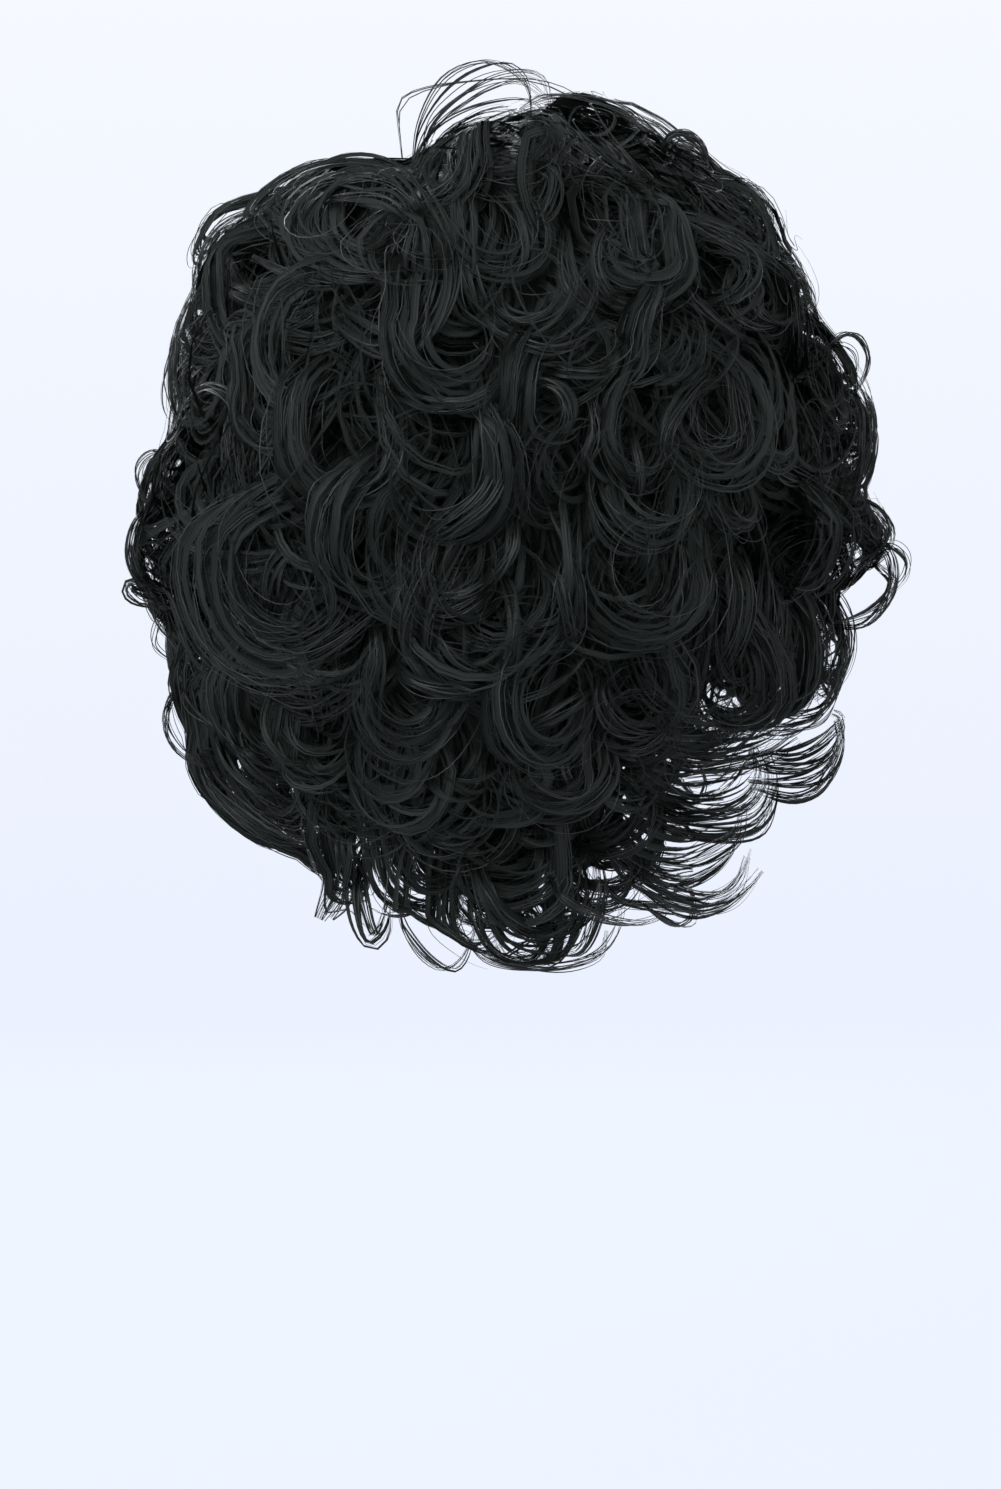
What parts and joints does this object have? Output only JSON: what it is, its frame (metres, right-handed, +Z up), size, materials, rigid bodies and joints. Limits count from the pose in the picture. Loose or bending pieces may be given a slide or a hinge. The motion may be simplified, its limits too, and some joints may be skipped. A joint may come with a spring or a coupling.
{
  "type": "short curly wig",
  "caption": "Short, full wig of loose black curls, in rows on a stretch cap, dressed as it looks when worn.",
  "frame": {"origin": "the inside of the cap at the crown, where the cap sits on the head", "axes": "+Z up out of the crown, the face towards -Y, the wearer's left towards +X"},
  "size_m": [0.2944, 0.2557, 0.3167],
  "materials": {
    "cap_net": "black stretch net",
    "elastic": "black ribbed elastic",
    "hair": "near-black glossy synthetic hair"
  },
  "bodies": {
    "root": {"cap": "cap_net", "rim_band": "elastic", "crown_row": "hair", "fringe_row": "hair", "upper_row": "hair", "middle_row": "hair", "lower_row": "hair", "nape_row": "hair"}
  },
  "joints": []
}
